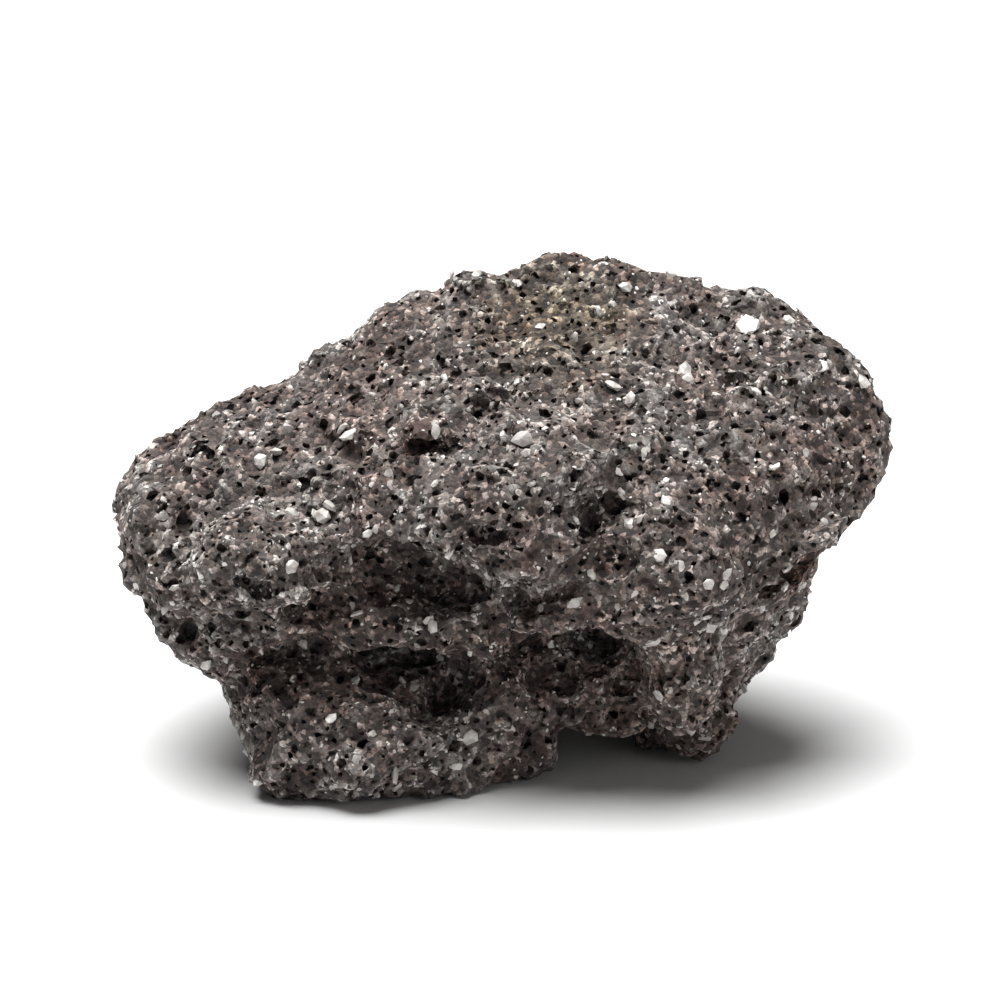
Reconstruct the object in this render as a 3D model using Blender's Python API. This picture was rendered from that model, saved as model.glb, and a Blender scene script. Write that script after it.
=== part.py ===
"""Lump of lava rock, as broken from a flow of bubbly basalt: one solid stone that stands on three worn feet.

The stone is a leaning crown over a waist that is hollowed out all round, on a broad front foot, a narrow
right foot and a back foot. +X runs along the length, +Z up, and the steep, hollowed side with the ledge
faces -Y.
"""

from math import radians

import bmesh
import bpy
from mathutils import Matrix, Vector

MM = 0.001  # the sizes and tables below are in millimetres

SKIN_CELL = 1.3  # cell of the remesh that blends the lumps into one stone
WEATHERING = 5  # rounds of smoothing, which round the edges to about 2 mm
SWELL_WIDTH = 14.0  # swells and bumps make the uneven break of the rock
SWELL_HEIGHT = 8.0
BUMP_WIDTH = 6.0
BUMP_HEIGHT = 4.5
TRIANGLE_SHARE = 0.34  # how many triangles the finished skin keeps

# Corners of each lump (x, y, z); the lump is their convex hull. A foot's lowest corners lie below the floor
# at z = 0, where the foot is cut off level.
CROWN = [
    # top, from left to right
    (-17, 8, 41), (-13, 8, 44.5), (-9, 9, 47.5), (-4, 9, 49), (4, 9, 50), (10, 9, 51), (14, 9, 49.5),
    (20, 9, 46), (27, 8, 46.5), (33, 6, 45), (38.5, 4, 44.5),
    # right end
    (41, 1, 39), (43, -2, 31), (41.5, -4, 26), (36, 12, 36), (35, 13, 25),
    # front
    (-12, -20, 29), (3, -22, 30.5), (14, -19, 33.5), (27, -15, 33), (36, -8, 30), (8, -18, 21), (17, -20, 22),
    (25, -17, 20),
    # back
    (-14, 24, 31), (4, 28, 34), (20, 25, 37), (28, 22, 27), (2, 26, 18), (-12, 0, 14), (14, 0, 12),
]
SHOULDER = [
    (-39.5, 0, 25.5), (-37, 3, 30.5), (-32, 4, 34), (-25, 5, 36.5), (-20, 7, 39), (-8, 10, 43), (0, 10, 44),
    (-38.5, -6, 22), (-36.5, -7, 16), (-31.5, -9, 11.5), (-35, -11, 25), (-29, -15, 27), (-15, -18, 27),
    (0, -20, 28), (-33, 12, 23), (-28, 18, 27), (-14, 24, 30), (-22, 21, 16), (-10, 0, 12), (-28, 8, 13),
]
WAIST = [
    (-30, -8, 11), (-26, -15, 15), (-4, -17, 16), (4, -14, 5), (14, -10, 5), (25, -13, 15), (31, -13, 22),
    (38, -8, 25), (33, -2, 14.5), (30, 0, 10), (26, 1, 6), (31, 12, 14), (22, 21, 15), (2, 24, 11),
    (-20, 20, 13),
    (-30, 8, 13), (-34, -9, 24), (-12, -17, 26), (-28, 14, 26), (28, 14, 30), (18, 12, 7), (-18, 10, 6),
]
FRONT_FOOT = [
    (-30, -8, 9), (-26.5, -12, 4), (-24, -18, 10.5), (-8, -21, 9.5), (4, -17, 9), (-22, -14, -1),
    (-14, -17, -4), (-7, -17, -4), (8, -13, 0.5), (-18, -6, -4), (-3, -6, -4), (-26, 4, 12), (2, 2, 16),
]
RIGHT_FOOT = [
    (15, -13, 17), (26, -13, 18), (28, -6, 8), (24.5, -5, 1), (22.5, -3, -3), (18, -4, -3), (15, -7, 2),
    (12, -10, 9), (21.5, 6, -3), (17, 6, -3), (27, 5, 5), (14, 5, 4), (30, 2, 16),
]
BACK_FOOT = [
    (-17, 18, 11), (-9, 18, -3), (-1, 18, -3), (-6, 10, -3), (8, 18, 6), (-16, 8, 7), (8, 6, 10), (1, 24, 14),
    (-8, 23, 12), (-4, 0, 8),
]

# Rounded lumps and hollows: centre, half-axes, and turns about X, Y and Z in degrees.
KNOBS = [
    ((18, -13, 25), (11, 9, 9), (0, 20, 20)),  # bulge of the front, right of the middle
    ((-23, -13, 25), (8, 7, 5), (0, 10, -20)),  # nose at the left end of the ledge
    ((-31.5, -3, 26), (7, 9, 6), (0, 0, 0)),
    ((3, -12, 34), (14, 11, 5), (25, 0, 0)),
    ((-14, -13, 5), (12, 8, 6), (0, -4, -4)),  # toe of the front foot
]
HOLLOWS = [
    ((-6, -23, 24.5), (7.5, 7.5, 3.2), (0, 8, 0)),  # pocket under the ledge
    ((-15.5, -21, 25), (4, 5, 1.8), (0, -10, 0)),
    ((4, -21, 22.5), (3.5, 4.5, 2), (0, -20, 0)),
    ((11, -20.5, 33), (5, 5, 2), (0, -15, 0)),  # notch over the bulge
    ((-12, -22, 13.5), (16, 14, 3.2), (0, 4, 0)),  # long crevice above the front foot
    ((-5, -19, 12), (5, 11, 3), (0, 25, 0)),
    ((8.5, -20, 15), (7.5, 12, 5), (0, -10, 0)),  # crevice under the bulge
    ((-26, -20, 20.5), (3.5, 5, 2), (0, 25, 0)),
    ((11.5, -14, 2), (3.4, 12, 4.5), (0, 0, -8)),  # arch between the feet
    ((-33, 25, 12), (13, 8, 7), (0, 20, 0)),
    ((16, 32, 20), (9, 7, 7), (0, 0, 0)),
    ((-17, 28, 25), (6, 6, 3.5), (0, -15, 0)),
]


def hull(name, corners):
    """The closed convex lump around its corners."""
    mesh = bpy.data.meshes.new(name)
    shape = bmesh.new()
    for corner in corners:
        shape.verts.new(Vector(corner) * MM)
    bmesh.ops.convex_hull(shape, input=shape.verts)
    loose = [v for v in shape.verts if not v.link_faces]
    bmesh.ops.delete(shape, geom=loose, context="VERTS")
    bmesh.ops.recalc_face_normals(shape, faces=shape.faces)
    shape.to_mesh(mesh)
    shape.free()
    piece = bpy.data.objects.new(name, mesh)
    bpy.context.scene.collection.objects.link(piece)
    return piece


def helper(piece):
    """A cutter or a lump that is joined into the stone isn't shown itself."""
    piece.hide_render = True
    piece.display_type = "WIRE"
    return piece


def ellipsoid(name, centre, half_axes, turns):
    """A round lump or hollow."""
    mesh = bpy.data.meshes.new(name)
    shape = bmesh.new()
    bmesh.ops.create_icosphere(shape, subdivisions=3, radius=1.0)
    shape.to_mesh(mesh)
    shape.free()
    turn = Matrix.Identity(3)
    for angle, axis in zip(turns, "XYZ"):
        turn = Matrix.Rotation(radians(angle), 3, axis) @ turn
    scale = Matrix.Diagonal(Vector(half_axes) * MM)
    mesh.transform(Matrix.Translation(Vector(centre) * MM) @ (turn @ scale).to_4x4())
    piece = bpy.data.objects.new(name, mesh)
    bpy.context.scene.collection.objects.link(piece)
    return helper(piece)


def boolean(stone, other, operation):
    change = stone.modifiers.new(other.name, "BOOLEAN")
    change.operation = operation
    change.object = other


def clouds(name, width_mm):
    texture = bpy.data.textures.new(name, "CLOUDS")
    texture.noise_scale = width_mm * MM
    texture.noise_depth = 2
    texture.noise_basis = "ORIGINAL_PERLIN"
    return texture


def displace(stone, texture, height_mm):
    change = stone.modifiers.new(texture.name, "DISPLACE")
    change.texture = texture
    change.strength = height_mm * MM
    change.mid_level = 0.5
    change.texture_coords = "LOCAL"


def make_stone():
    stone = hull("lava_rock", CROWN)
    lumps = {
        "shoulder": SHOULDER,
        "waist": WAIST,
        "front_foot": FRONT_FOOT,
        "right_foot": RIGHT_FOOT,
        "back_foot": BACK_FOOT,
    }
    for name, corners in lumps.items():
        boolean(stone, helper(hull(name, corners)), "UNION")
    for number, (centre, half_axes, turns) in enumerate(KNOBS):
        boolean(stone, ellipsoid(f"knob_{number}", centre, half_axes, turns), "UNION")
    for number, (centre, half_axes, turns) in enumerate(HOLLOWS):
        boolean(stone, ellipsoid(f"hollow_{number}", centre, half_axes, turns), "DIFFERENCE")
    skin = stone.modifiers.new("skin", "REMESH")
    skin.mode = "VOXEL"
    skin.voxel_size = SKIN_CELL * MM
    weather = stone.modifiers.new("weather", "SMOOTH")
    weather.iterations = WEATHERING
    weather.factor = 0.5
    displace(stone, clouds("swells", SWELL_WIDTH), SWELL_HEIGHT)
    displace(stone, clouds("bumps", BUMP_WIDTH), BUMP_HEIGHT)
    thin = stone.modifiers.new("thin", "DECIMATE")
    thin.ratio = TRIANGLE_SHARE
    return stone


def finish(stone):
    """Replace the stone's modifiers with their result and remove the helpers."""
    evaluated = stone.evaluated_get(bpy.context.evaluated_depsgraph_get())
    stone.data = bpy.data.meshes.new_from_object(evaluated)
    stone.modifiers.clear()
    for piece in list(bpy.data.objects):
        if piece is not stone:
            bpy.data.objects.remove(piece)


def wear_feet_flat(stone):
    """The feet are cut level at the floor, where the stone has worn on whatever it lay on."""
    shape = bmesh.new()
    shape.from_mesh(stone.data)
    everything = shape.verts[:] + shape.edges[:] + shape.faces[:]
    bmesh.ops.bisect_plane(shape, geom=everything, plane_co=(0, 0, 0), plane_no=(0, 0, -1), clear_outer=True)
    soles = bmesh.ops.holes_fill(shape, edges=[e for e in shape.edges if e.is_boundary])
    bmesh.ops.triangulate(shape, faces=soles["faces"])
    shape.to_mesh(stone.data)
    shape.free()


def centre_over_origin(stone):
    across = [[v.co[axis] for v in stone.data.vertices] for axis in (0, 1)]
    middle = [(min(values) + max(values)) / 2 for values in across]
    stone.data.transform(Matrix.Translation((-middle[0], -middle[1], 0)))


def basalt():
    """Dull grey-brown stone."""
    material = bpy.data.materials.new("basalt")
    material.use_nodes = True
    shader = material.node_tree.nodes["Principled BSDF"]
    shader.inputs["Base Color"].default_value = (0.110, 0.093, 0.089, 1.0)
    shader.inputs["Roughness"].default_value = 0.9
    shader.inputs["Metallic"].default_value = 0.0
    return material


def main():
    for old in list(bpy.data.objects):
        bpy.data.objects.remove(old)
    stone = make_stone()
    finish(stone)
    wear_feet_flat(stone)
    centre_over_origin(stone)
    stone.data.materials.append(basalt())


main()
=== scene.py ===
"""Looks of one lump of lava rock on a pale floor.

The stone's skin is broken basalt full of gas holes, with pale feldspar and black pyroxene grains frozen into it.
"""

import math

import bpy
import numpy as np
from mathutils import Matrix, Vector
from mathutils.bvhtree import BVHTree


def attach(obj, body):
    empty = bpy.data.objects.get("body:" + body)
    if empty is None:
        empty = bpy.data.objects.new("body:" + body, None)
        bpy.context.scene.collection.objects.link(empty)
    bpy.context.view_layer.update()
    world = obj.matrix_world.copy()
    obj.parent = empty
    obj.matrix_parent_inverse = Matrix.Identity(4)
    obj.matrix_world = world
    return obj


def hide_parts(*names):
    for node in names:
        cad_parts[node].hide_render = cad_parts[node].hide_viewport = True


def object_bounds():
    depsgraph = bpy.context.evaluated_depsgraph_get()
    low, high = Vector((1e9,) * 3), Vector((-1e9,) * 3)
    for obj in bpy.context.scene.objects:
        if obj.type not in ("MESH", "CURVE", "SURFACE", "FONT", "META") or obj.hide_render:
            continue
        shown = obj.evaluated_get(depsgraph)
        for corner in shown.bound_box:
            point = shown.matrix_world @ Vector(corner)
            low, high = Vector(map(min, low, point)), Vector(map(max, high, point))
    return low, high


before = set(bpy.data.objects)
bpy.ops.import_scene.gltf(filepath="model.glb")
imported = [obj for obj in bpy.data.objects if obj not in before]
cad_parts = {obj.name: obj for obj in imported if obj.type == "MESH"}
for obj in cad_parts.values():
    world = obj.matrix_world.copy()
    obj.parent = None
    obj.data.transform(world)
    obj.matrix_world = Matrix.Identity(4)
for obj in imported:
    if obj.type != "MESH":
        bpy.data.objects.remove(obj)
cad_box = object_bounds()

MM = 0.001
SEED = 11

# The stone's skin, in millimetres.
LUMP_CELL = 0.8  # cell of the remesh that the lumps and hollows are modelled on
SKIN_CELL = 0.5  # cell of the remesh that the break is modelled on
FINE_CELL = 0.36  # cell of the remesh that the grit and the gas holes are modelled on
STONE_TRIANGLES = 197000

# Gas holes: how many, and their smallest and largest radius in millimetres.
GAS_HOLES = [
    (60, 0.8, 1.15),
    (1500, 0.5, 0.85),
    (2600, 0.38, 0.65),
    (6000, 0.28, 0.45),
    (6000, 0.26, 0.4),
]

# Lumps and hollows of the break, rounded: centre, half-axes, and turn about Y in degrees (positive lowers the right).
LUMPS = [
    ((18.5, -20.5, 25.5), (5.5, 4.5, 4.5), 0),  # bulge of the front
    ((2.5, -21.0, 27.0), (5.0, 4.0, 2.6), 0),
    ((7.0, -20.0, 20.8), (6.5, 4.5, 2.0), -12),  # lip over the crevice
    ((-20.0, -19.0, 24.0), (4.0, 4.0, 2.0), 10),
    ((-31.5, -12.5, 22.0), (5.5, 5.0, 5.0), 0),  # nose
    ((19.0, -15.5, 12.5), (4.2, 5.0, 7.5), 4),  # neck of the right foot
    ((20.5, -9.0, 4.6), (4.4, 3.8, 4.3), 0),  # its toe
    ((30.5, -13.0, 25.5), (6.0, 3.5, 1.6), -28),  # ridge to the right end
    ((-17.0, -17.5, 9.0), (8.0, 5.5, 3.0), 4),  # top of the front foot
    ((-5.0, -10.0, 39.4), (6.5, 3.2, 2.4), -14),  # terrace on the upper face
    ((-7.3, -14.6, 38.7), (3.0, 2.0, 1.3), -6),  # knob at its edge
    ((-31.0, -9.0, 14.5), (6.5, 6.0, 3.6), 40),  # chin
    ((11.5, -11.5, 6.0), (5.0, 3.5, 2.2), 0),  # top of the arch between the feet
    ((10.0, 18.5, 34.0), (9.0, 4.5, 3.0), 8),  # ledge across the back
    ((-24.0, 15.5, 27.0), (6.0, 4.5, 3.5), -20),
    ((5.0, 17.5, 16.0), (7.0, 4.0, 2.5), -10),
]
HOLLOWS = [
    ((-10.0, -22.5, 24.2), (10.2, 8.6, 4.5), 5),  # pitted hollow under the ledge
    ((-18.5, -20.5, 20.4), (5.0, 6.0, 2.2), -8),
    ((-14.3, -22.5, 28.0), (2.8, 4.5, 0.9), -6),  # slots in it
    ((-10.6, -19.0, 26.0), (2.4, 4.5, 1.2), 14),
    ((-5.2, -19.5, 26.4), (2.7, 5.0, 1.3), -14),
    ((-6.8, -18.5, 21.9), (4.2, 5.0, 1.3), 6),
    ((-0.9, -24.5, 30.4), (2.6, 4.2, 0.7), -4),
    ((9.6, -22.0, 30.2), (2.4, 4.5, 0.9), -34),  # notch over the bulge
    ((12.8, -21.0, 31.9), (3.0, 4.5, 0.8), -6),
    ((11.2, -25.0, 28.0), (2.8, 4.0, 2.4), 0),
    ((-25.2, -23.0, 24.2), (2.6, 4.2, 0.9), 24),  # slit over the nose
    ((-22.5, -17.0, 14.2), (4.2, 5.0, 1.0), -16),  # long crevice above the front foot
    ((-10.0, -17.0, 13.2), (6.0, 9.0, 2.2), 12),
    ((3.6, -18.0, 14.6), (4.8, 8.0, 1.5), -16),
    ((10.2, -18.0, 15.0), (4.6, 10.0, 3.7), -10),
    ((13.0, -17.5, 11.2), (1.8, 6.0, 2.4), 55),
    ((31.5, -13.5, 22.8), (6.5, 4.5, 1.0), -24),  # groove under the right ridge
    ((-7.4, -16.6, 37.5), (4.0, 2.6, 0.7), 4),  # crack round the knob
    ((-10.8, -14.4, 38.3), (0.8, 2.6, 1.6), 20),
    ((-3.0, -15.2, 39.2), (2.2, 2.6, 0.6), -28),
    ((11.2, -22.0, 31.5), (3.3, 4.6, 1.8), -8),
    ((-1.3, -23.6, 30.4), (2.4, 3.4, 0.8), -6),  # slots above the pitted hollow
    ((-14.1, -22.6, 28.2), (3.0, 3.6, 0.9), 10),
    ((26.1, -6.2, 41.8), (0.9, 2.2, 1.5), 0),  # line of holes down to the right end
    ((28.3, -7.6, 40.6), (1.3, 2.2, 0.9), 30),
    ((31.6, -8.0, 38.4), (1.6, 2.2, 0.8), 40),
    ((6.0, 23.0, 28.5), (9.0, 6.0, 2.6), 8),  # hollows of the back, the sides and the top
    ((-13.0, 20.5, 24.5), (4.0, 5.0, 1.8), -18),
    ((-28.0, 16.5, 21.0), (3.5, 5.0, 1.4), 20),
    ((20.0, 16.5, 24.0), (4.5, 6.0, 2.2), -25),
    ((0.0, 20.5, 12.0), (6.0, 5.0, 1.6), 10),
    ((-4.0, 20.5, 38.0), (4.5, 3.5, 1.2), 0),
    ((16.0, 13.5, 43.5), (3.2, 3.0, 1.6), 20),
    ((32.5, 8.0, 28.0), (5.0, 5.0, 2.2), -15),
    ((-36.0, 3.5, 24.5), (3.5, 5.0, 1.6), 10),
    ((-20.0, 11.0, 35.6), (3.0, 3.0, 1.0), -20),
    ((-1.6, -12.5, 40.4), (2.6, 2.2, 0.8), -45),
    ((-17.0, -13.4, 34.8), (6.0, 2.2, 0.8), -22),
    ((23.5, -5.5, 41.0), (3.4, 2.2, 0.8), 38),
]


# The large feldspar grains of the front: across, height, and length in millimetres.
LARGE_GRAINS = [
    (25.7, 44.9, 2.9), (19.1, 41.8, 2.4), (2.3, 38.5, 2.4), (-18.3, 29.7, 2.4), (-16.3, 36.8, 1.8),
    (37.7, 39.7, 1.8), (13.1, 48.2, 1.8), (-6.6, 39.2, 1.8), (-24.8, 33.1, 2.0), (30.0, 45.2, 1.6),
    (20.3, 20.6, 1.6), (15.7, 18.0, 2.6), (16.3, 11.4, 1.8), (21.4, 25.5, 1.5), (16.3, 28.4, 1.6),
    (-3.1, 6.6, 2.4), (-17.4, 9.9, 1.8),
]


def select_only(piece):
    bpy.ops.object.select_all(action="DESELECT")
    piece.select_set(True)
    bpy.context.view_layer.objects.active = piece


def change(piece, kind, **settings):
    """Add a modifier with its settings and apply it."""
    select_only(piece)
    modifier = piece.modifiers.new(kind.lower(), kind)
    for name, value in settings.items():
        setattr(modifier, name, value)
    bpy.ops.object.modifier_apply(modifier=modifier.name)


def copy_of_node(name, node):
    """A merged copy of a node of the frame."""
    piece = bpy.data.objects.new(name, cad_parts[node].data.copy())
    bpy.context.scene.collection.objects.link(piece)
    select_only(piece)
    bpy.ops.object.mode_set(mode="EDIT")
    bpy.ops.mesh.select_all(action="SELECT")
    bpy.ops.mesh.remove_doubles(threshold=0.00001)
    bpy.ops.object.mode_set(mode="OBJECT")
    piece.data.materials.clear()
    return piece


def piece_from(name, corners, faces):
    mesh = bpy.data.meshes.new(name)
    mesh.from_pydata(corners, [], faces)
    piece = bpy.data.objects.new(name, mesh)
    bpy.context.scene.collection.objects.link(piece)
    return piece


def corners_of(mesh):
    flat = np.empty(len(mesh.vertices) * 3)
    mesh.vertices.foreach_get("co", flat)
    return flat.reshape(-1, 3)


def triangles_of(mesh):
    mesh.calc_loop_triangles()
    flat = np.empty(len(mesh.loop_triangles) * 3, dtype=np.int64)
    mesh.loop_triangles.foreach_get("vertices", flat)
    return flat.reshape(-1, 3)


def clouds(name, width_mm, depth):
    texture = bpy.data.textures.new(name, "CLOUDS")
    texture.noise_scale = width_mm * MM
    texture.noise_depth = depth
    texture.noise_basis = "ORIGINAL_PERLIN"
    return texture


def ridges(name, width_mm):
    """Sharp crests, as a brittle break leaves them."""
    texture = bpy.data.textures.new(name, "MUSGRAVE")
    texture.musgrave_type = "RIDGED_MULTIFRACTAL"
    texture.noise_scale = width_mm * MM
    texture.octaves = 3.0
    texture.noise_intensity = 0.6
    return texture


def roughen(piece, texture, height_mm, middle=0.5):
    change(piece, "DISPLACE", texture=texture, texture_coords="LOCAL", strength=height_mm * MM, mid_level=middle)


def random_turn(rng):
    """A turn about any axis, each as likely as the next."""
    q = rng.normal(size=4)
    w, x, y, z = q / np.linalg.norm(q)
    return np.array([
        [1 - 2 * (y * y + z * z), 2 * (x * y - z * w), 2 * (x * z + y * w)],
        [2 * (x * y + z * w), 1 - 2 * (x * x + z * z), 2 * (y * z - x * w)],
        [2 * (x * z - y * w), 2 * (y * z + x * w), 1 - 2 * (x * x + y * y)],
    ])


def places_on(mesh, count, rng):
    """Random points on a mesh, evenly spread over its area, and the outward direction at each."""
    corners = corners_of(mesh)
    triangles = triangles_of(mesh)
    a, b, c = (corners[triangles[:, i]] for i in range(3))
    across = np.cross(b - a, c - a)
    double_area = np.linalg.norm(across, axis=1)
    picked = rng.choice(len(triangles), count, p=double_area / double_area.sum())
    u, v = rng.random(count), rng.random(count)
    over = u + v > 1
    u[over], v[over] = 1 - u[over], 1 - v[over]
    points = a[picked] + u[:, None] * (b - a)[picked] + v[:, None] * (c - a)[picked]
    return points, across[picked] / double_area[picked][:, None]


def bubble_shapes(rng):
    """Gas bubbles pressed out of round, each with a radius of about 1."""
    shapes = []
    for number in range(6):
        bpy.ops.object.select_all(action="DESELECT")
        bpy.ops.mesh.primitive_ico_sphere_add(subdivisions=2, radius=1.0, location=(0, 0, 0))
        ball = bpy.context.object
        bpy.ops.object.mode_set(mode="EDIT")
        bpy.ops.transform.vertex_random(offset=0.3, uniform=0.0, normal=0.7, seed=number)
        bpy.ops.object.mode_set(mode="OBJECT")
        corners = corners_of(ball.data) * rng.uniform((0.6, 0.7, 0.7), (1.1, 1.25, 1.25))
        shapes.append((corners, triangles_of(ball.data)))
        bpy.data.objects.remove(ball)
    return shapes


def apart(points, radii):
    """Which balls to keep, so that none touches another."""
    size = 2.6 * radii.max()
    grid = {}
    kept = []
    for i, (point, radius) in enumerate(zip(points, radii)):
        home = tuple(np.floor(point / size).astype(int))
        near = [
            j
            for dx in (-1, 0, 1) for dy in (-1, 0, 1) for dz in (-1, 0, 1)
            for j in grid.get((home[0] + dx, home[1] + dy, home[2] + dz), ())
        ]
        if all(np.dot(point - points[j], point - points[j]) > (1.3 * (radius + radii[j])) ** 2 for j in near):
            grid.setdefault(home, []).append(i)
            kept.append(i)
    return kept


def scatter(name, shapes, points, turns, sizes, rng):
    """One mesh of many copies of the shapes."""
    corners, faces, start = [], [], 0
    for point, turn, size in zip(points, turns, sizes):
        shape, triangles = shapes[rng.integers(len(shapes))]
        corners.append((shape * size) @ turn.T + point)
        faces.append(triangles + start)
        start += len(shape)
    return piece_from(name, np.concatenate(corners), np.concatenate(faces).tolist())


def open_gas_holes(stone, count, smallest, largest, shapes, rng):
    points, outward = places_on(stone.data, count, rng)
    radii = MM * smallest * (largest / smallest) ** (rng.random(count) ** 1.5)
    points = points + outward * (radii * rng.uniform(-0.75, 0.05, count))[:, None]
    kept = apart(points, radii)
    turns = [random_turn(rng) for _ in kept]
    bubbles = scatter("bubbles", shapes, points[kept], turns, radii[kept], rng)
    change(stone, "BOOLEAN", operation="DIFFERENCE", object=bubbles, solver="MANIFOLD")
    bpy.data.objects.remove(bubbles)


def shape(stone, rounded, operation):
    for centre, half_axes, turn in rounded:
        bpy.ops.object.select_all(action="DESELECT")
        bpy.ops.mesh.primitive_ico_sphere_add(
            subdivisions=4, radius=MM, location=[c * MM for c in centre],
            rotation=(0, math.radians(turn), 0), scale=half_axes)
        ball = bpy.context.object
        change(stone, "BOOLEAN", operation=operation, object=ball, solver="MANIFOLD")
        bpy.data.objects.remove(ball)


def search_tree(mesh):
    return BVHTree.FromPolygons(corners_of(mesh).tolist(), triangles_of(mesh).tolist())


def make_stone(rng):
    stone = copy_of_node("lava_rock_skin", "lava_rock")
    change(stone, "REMESH", mode="VOXEL", voxel_size=LUMP_CELL * MM)
    change(stone, "SMOOTH", factor=0.5, iterations=3)
    shape(stone, LUMPS, "UNION")
    shape(stone, HOLLOWS, "DIFFERENCE")
    change(stone, "REMESH", mode="VOXEL", voxel_size=SKIN_CELL * MM)
    roughen(stone, clouds("break", 5.0, 3), 2.6)
    skin = search_tree(stone.data)
    change(stone, "REMESH", mode="VOXEL", voxel_size=FINE_CELL * MM)
    roughen(stone, ridges("splinters", 2.6), 0.75, 0.8)
    roughen(stone, clouds("grit", 1.0, 2), 0.9)
    wear_flat(stone)
    shapes = bubble_shapes(rng)
    for count, smallest, largest in GAS_HOLES:
        open_gas_holes(stone, count, smallest, largest, shapes, rng)
    change(stone, "DECIMATE", ratio=STONE_TRIANGLES / len(triangles_of(stone.data)))
    stone.data.validate()
    select_only(stone)
    bpy.ops.object.shade_smooth_by_angle(angle=math.radians(35))
    return stone, skin


def wear_flat(stone):
    """Grind off what the roughening pushed below the floor."""
    bpy.ops.object.select_all(action="DESELECT")
    bpy.ops.mesh.primitive_cube_add(size=0.2, location=(0, 0, -0.1))
    below = bpy.context.object
    change(stone, "BOOLEAN", operation="DIFFERENCE", object=below, solver="MANIFOLD")
    bpy.data.objects.remove(below)


def mark_depth(stone, skin):
    """How far each point lies below the unbroken skin, in millimetres, for the painted shade of the holes and hollows.
    """
    depths = np.empty(len(stone.data.vertices), dtype=np.float32)
    for i, vertex in enumerate(stone.data.vertices):
        place, outward, _, _ = skin.find_nearest(vertex.co)
        depths[i] = (place - vertex.co).dot(outward) / MM
    attribute = stone.data.attributes.new("depth", "FLOAT", "POINT")
    attribute.data.foreach_set("value", depths)
    return depths


def grain_shapes(rng):
    """Broken crystals, flat chips about 1 long and 0.4 thick, thin way up."""
    shapes = []
    for number in range(10):
        bpy.ops.object.select_all(action="DESELECT")
        bpy.ops.mesh.primitive_ico_sphere_add(subdivisions=1, radius=0.5, location=(0, 0, 0))
        chip = bpy.context.object
        bpy.ops.object.mode_set(mode="EDIT")
        bpy.ops.transform.vertex_random(offset=0.14, uniform=0.0, normal=0.3, seed=number)
        bpy.ops.transform.resize(value=(1.0, rng.uniform(0.5, 0.95), rng.uniform(0.3, 0.5)))
        bpy.ops.object.mode_set(mode="OBJECT")
        shapes.append((corners_of(chip.data), triangles_of(chip.data)))
        bpy.data.objects.remove(chip)
    return shapes


def lie_along(outward, tilt, rng):
    """Turns that lay a chip on the skin, whose outward direction is given, with a random tilt."""
    turns = []
    for direction in outward:
        up = Vector(direction) + Vector(rng.normal(size=3)) * tilt
        spin = Matrix.Rotation(rng.uniform(0, math.tau), 3, "Z")
        turns.append(np.array(up.to_track_quat("Z", "Y").to_matrix() @ spin))
    return turns


def set_grains(name, stone, depths, count, smallest, largest, deepest, shapes, rng):
    """Grains sunk into the stone's skin, so that their broken tops show."""
    points, outward = places_on(stone.data, count, rng)
    nearest = search_tree(stone.data)
    triangles = triangles_of(stone.data)
    corner_depth = np.array([depths[triangles[nearest.find_nearest(Vector(p))[2]]].mean() for p in points])
    shown = (corner_depth < deepest) & (points[:, 2] > 1.0 * MM)
    points, outward = points[shown], outward[shown]
    sizes = MM * smallest * (largest / smallest) ** (rng.random(len(points)) ** 7)
    points = points - outward * (sizes * 0.1)[:, None]
    return scatter(name, shapes, points, lie_along(outward, 0.3, rng), sizes, rng)


def set_large_grains(name, skin, shapes, rng):
    """The grains of the front that stand out one by one, each where a straight line from the front meets the skin."""
    points, outward = [], []
    for across, height, _ in LARGE_GRAINS:
        place, direction, _, _ = skin.ray_cast(Vector((across, -100.0, height)) * MM, Vector((0, 1, 0)))
        points.append(place)
        outward.append(direction)
    points, outward = np.array(points), np.array(outward)
    sizes = MM * np.array([length for _, _, length in LARGE_GRAINS])
    return scatter(name, shapes, points, lie_along(outward, 0.15, rng), sizes, rng)


def linear(hex_colour):
    """A colour given as sRGB hex, as the linear value that a shader reads."""
    values = [int(hex_colour[i:i + 2], 16) / 255 for i in (1, 3, 5)]
    return tuple(v / 12.92 if v <= 0.04045 else ((v + 0.055) / 1.055) ** 2.4 for v in values) + (1.0,)


def node(tree, kind, settings=None, values=None, links=None):
    """Add a node: settings are its properties, values its sockets' numbers, links what feeds its sockets."""
    made = tree.nodes.new(kind)
    for name, value in (settings or {}).items():
        setattr(made, name, value)
    for name, value in (values or {}).items():
        made.inputs[name].default_value = value
    for name, source in (links or {}).items():
        tree.links.new(source, made.inputs[name])
    return made


def ramp(tree, factor, stops):
    """A colour ramp of (place, hex colour) stops."""
    made = node(tree, "ShaderNodeValToRGB", links={"Fac": factor})
    elements = made.color_ramp.elements
    while len(elements) < len(stops):
        elements.new(0.5)
    for element, (place, colour) in zip(elements, stops):
        element.position = place
        element.color = linear(colour)
    return made.outputs["Color"]


def mixed(tree, kind, factor, a, b):
    made = node(tree, "ShaderNodeMix", {"data_type": "RGBA", "blend_type": kind})
    for socket, value in zip((made.inputs[0], made.inputs[6], made.inputs[7]), (factor, a, b)):
        if hasattr(value, "links"):
            tree.links.new(value, socket)
        else:
            socket.default_value = value
    return made.outputs[2]


def per_mm(width_mm):
    """The scale that draws a pattern of this width."""
    return 1 / (width_mm * MM)


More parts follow.
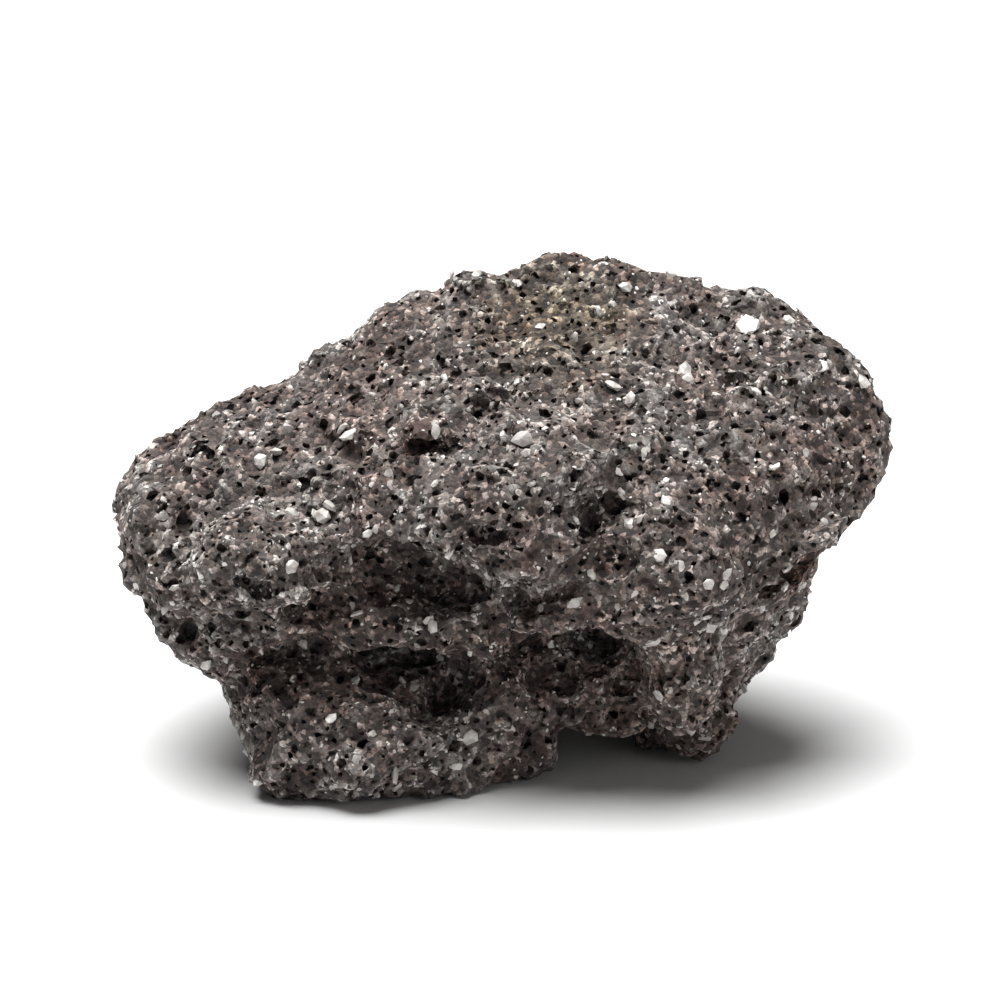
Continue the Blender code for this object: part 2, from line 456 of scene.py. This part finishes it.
def near(tree, where, place_mm, reach_mm, edge):
    """1 at a place on the stone, falling to 0 at its reach, with an edge that wanders by the noise given."""
    away = node(tree, "ShaderNodeVectorMath", {"operation": "DISTANCE"}, {1: [c * MM for c in place_mm]}, {0: where})
    wander = node(tree, "ShaderNodeMath", {"operation": "MULTIPLY_ADD"}, {1: -reach_mm * MM}, {0: edge, 2: away.outputs["Value"]})
    return node(tree, "ShaderNodeMapRange", values={"From Min": 0.4 * reach_mm * MM, "From Max": -0.2 * reach_mm * MM},
                links={"Value": wander.outputs[0]}).outputs["Result"]


def vesicular_basalt():
    """Basalt, broken: dull, grey-brown, finely speckled pale and dark, with rust patches and painted shade, dark
    reddish brown, in its holes and hollows.
    """
    material = bpy.data.materials.new("vesicular_basalt")
    material.use_nodes = True
    tree = material.node_tree
    shader = tree.nodes["Principled BSDF"]
    where = node(tree, "ShaderNodeTexCoord").outputs["Object"]
    depth = node(tree, "ShaderNodeAttribute", {"attribute_name": "depth"}).outputs["Fac"]
    crumbs = node(tree, "ShaderNodeTexNoise", values={"Scale": per_mm(0.4), "Detail": 3.0, "Roughness": 0.7},
                  links={"Vector": where}).outputs["Fac"]
    bent = node(tree, "ShaderNodeVectorMath", {"operation": "MULTIPLY_ADD"}, {1: [0.5 * MM] * 3}, {
        0: node(tree, "ShaderNodeTexNoise", values={"Scale": per_mm(0.5)}, links={"Vector": where}).outputs["Color"],
        2: where}).outputs["Vector"]
    minerals = node(tree, "ShaderNodeTexVoronoi", values={"Scale": per_mm(0.55)}, links={"Vector": bent})
    kind = node(tree, "ShaderNodeSeparateColor", links={"Color": minerals.outputs["Color"]}).outputs["Red"]
    patches = node(tree, "ShaderNodeTexNoise", values={"Scale": per_mm(10.0), "Detail": 4.0, "Roughness": 0.65},
                   links={"Vector": where}).outputs["Fac"]
    # Painted light: the skin round the right foot is made paler, its minerals moved towards the pale end of the ramp.
    pale = near(tree, where, (19, -12, 11), 13, patches)
    kind = node(tree, "ShaderNodeMath", {"operation": "MULTIPLY_ADD"}, {1: 0.3}, {0: pale, 2: kind}).outputs[0]
    mineral = ramp(tree, kind, [(0.0, "#43403D"), (0.3, "#6A6664"), (0.62, "#8E8A86"), (0.84, "#ABA7A2"),
                                (0.94, "#F0EDE8")])
    shade = ramp(tree, crumbs, [(0.35, "#9A9A9A"), (0.5, "#DCDCDC"), (0.65, "#FFFFFF")])
    mineral = mixed(tree, "MULTIPLY", 1.0, mineral, shade)
    tint = ramp(tree, patches, [(0.4, "#FFFFFF"), (0.6, "#E8D3CD")])
    stone_colour = mixed(tree, "MULTIPLY", 1.0, mineral, tint)
    ochre = near(tree, where, (6, 0, 46), 13, patches)
    stone_colour = mixed(tree, "MULTIPLY", ochre, stone_colour, linear("#E8DCC2"))
    for place, reach in (((-8, -15, 38.0), 5), ((-26, -17, 12), 6), ((-19, -21, 20), 5), ((33, -12, 21), 7)):
        rust = near(tree, where, place, reach, patches)
        stone_colour = mixed(tree, "MULTIPLY", rust, stone_colour, linear("#C89C90"))
    # Painted shade: the colour darkens to reddish brown the deeper a point lies below the unbroken skin, in the gas
    # holes and hollows; above the skin it is left as it is.
    painted_hole_shade = ramp(tree, node(tree, "ShaderNodeMapRange", values={"From Min": -0.5, "From Max": 1.1},
                           links={"Value": depth}).outputs["Result"],
                [(0.3, "#FFFFFF"), (0.5, "#B9AEAA"), (0.7, "#7A6A64"), (1.0, "#4A3C38")])
    colour = mixed(tree, "MULTIPLY", 1.0, stone_colour, painted_hole_shade)
    tree.links.new(colour, shader.inputs["Base Color"])
    shader.inputs["Roughness"].default_value = 0.85
    shader.inputs["IOR"].default_value = 1.55
    lump = node(tree, "ShaderNodeBump", values={"Strength": 0.8, "Distance": 0.2 * MM},
                links={"Height": minerals.outputs["Distance"]})
    lump.invert = True
    bump = node(tree, "ShaderNodeBump", values={"Strength": 0.6, "Distance": 0.2 * MM},
                links={"Height": crumbs, "Normal": lump.outputs["Normal"]})
    tree.links.new(bump.outputs["Normal"], shader.inputs["Normal"])
    return material


def feldspar():
    """Plagioclase feldspar, cleaved: milky, with a soft glassy shine."""
    material = bpy.data.materials.new("feldspar")
    material.use_nodes = True
    tree = material.node_tree
    shader = tree.nodes["Principled BSDF"]
    where = node(tree, "ShaderNodeTexCoord").outputs["Object"]
    cloud = node(tree, "ShaderNodeTexNoise", values={"Scale": per_mm(1.2), "Detail": 3.0},
                 links={"Vector": where}).outputs["Fac"]
    tree.links.new(ramp(tree, cloud, [(0.3, "#8A837F"), (0.5, "#B2ADA8"), (0.7, "#DAD6D0")]),
                   shader.inputs["Base Color"])
    shader.inputs["Roughness"].default_value = 0.4
    shader.inputs["IOR"].default_value = 1.53
    return material


def pyroxene():
    """Pyroxene, broken: black with a faint shine."""
    material = bpy.data.materials.new("pyroxene")
    material.use_nodes = True
    tree = material.node_tree
    shader = tree.nodes["Principled BSDF"]
    where = node(tree, "ShaderNodeTexCoord").outputs["Object"]
    cloud = node(tree, "ShaderNodeTexNoise", values={"Scale": per_mm(1.5), "Detail": 2.0},
                 links={"Vector": where}).outputs["Fac"]
    tree.links.new(ramp(tree, cloud, [(0.3, "#0C0B0B"), (0.7, "#2A2523")]), shader.inputs["Base Color"])
    shader.inputs["Roughness"].default_value = 0.45
    shader.inputs["IOR"].default_value = 1.7
    return material


def add_light(name, kind, place, energy, **settings):
    light = bpy.data.lights.new(name, kind)
    light.energy = energy
    for key, value in settings.items():
        setattr(light, key, value)
    lamp = bpy.data.objects.new(name, light)
    lamp.location = place
    lamp.rotation_euler = (-Vector(place)).to_track_quat("-Z", "Y").to_euler()
    bpy.context.scene.collection.objects.link(lamp)
    return lamp


def light_studio():
    world = bpy.data.worlds.new("studio")
    world.use_nodes = True
    world.node_tree.nodes["Background"].inputs["Color"].default_value = (1, 1, 1, 1)
    world.node_tree.nodes["Background"].inputs["Strength"].default_value = 0.1
    bpy.context.scene.world = world
    add_light("soft_box", "SUN", (-0.14, 0.12, 1.0), 7.5, angle=math.radians(50))
    add_light("fill", "SUN", (0.9, -0.6, 0.3), 0.5, angle=math.radians(40))


def lay_floor():
    bpy.ops.object.select_all(action="DESELECT")
    bpy.ops.mesh.primitive_plane_add(size=6.0, location=(0, 0, 0))
    floor = bpy.context.object
    floor.name = "floor"
    material = bpy.data.materials.new("white_paper")
    material.use_nodes = True
    shader = material.node_tree.nodes["Principled BSDF"]
    shader.inputs["Base Color"].default_value = linear("#D2D2D2")
    shader.inputs["Roughness"].default_value = 0.9
    floor.data.materials.append(material)


def place_camera():
    low, high = (Vector(corner) for corner in cad_box)
    target = (low + high) / 2
    tilt = math.radians(20)
    away = Vector((0, -math.cos(tilt), math.sin(tilt)))
    camera = bpy.data.objects.new("camera", bpy.data.cameras.new("camera"))
    camera.data.lens = 400
    camera.data.clip_start = 0.01
    camera.location = target + away * 1.16
    camera.rotation_euler = (-away).to_track_quat("-Z", "Y").to_euler()
    bpy.context.scene.collection.objects.link(camera)
    bpy.context.scene.camera = camera


rng = np.random.default_rng(SEED)
stone, skin = make_stone(rng)
depths = mark_depth(stone, skin)
shapes = grain_shapes(rng)
pale_grains = set_grains("feldspar_grains", stone, depths, 9000, 0.45, 2.3, 0.4, shapes, rng)
large_grains = set_large_grains("large_feldspar_grains", skin, shapes, rng)
dark_grains = set_grains("pyroxene_grains", stone, depths, 1500, 0.4, 1.2, 0.8, shapes, rng)
stone.data.materials.clear()
stone.data.materials.append(vesicular_basalt())
milky = feldspar()
pale_grains.data.materials.append(milky)
large_grains.data.materials.append(milky)
dark_grains.data.materials.append(pyroxene())
for piece in (stone, pale_grains, large_grains, dark_grains):
    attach(piece, "root")
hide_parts("lava_rock")
place_camera()
light_studio()
lay_floor()
bpy.context.scene.view_settings.view_transform = "Standard"
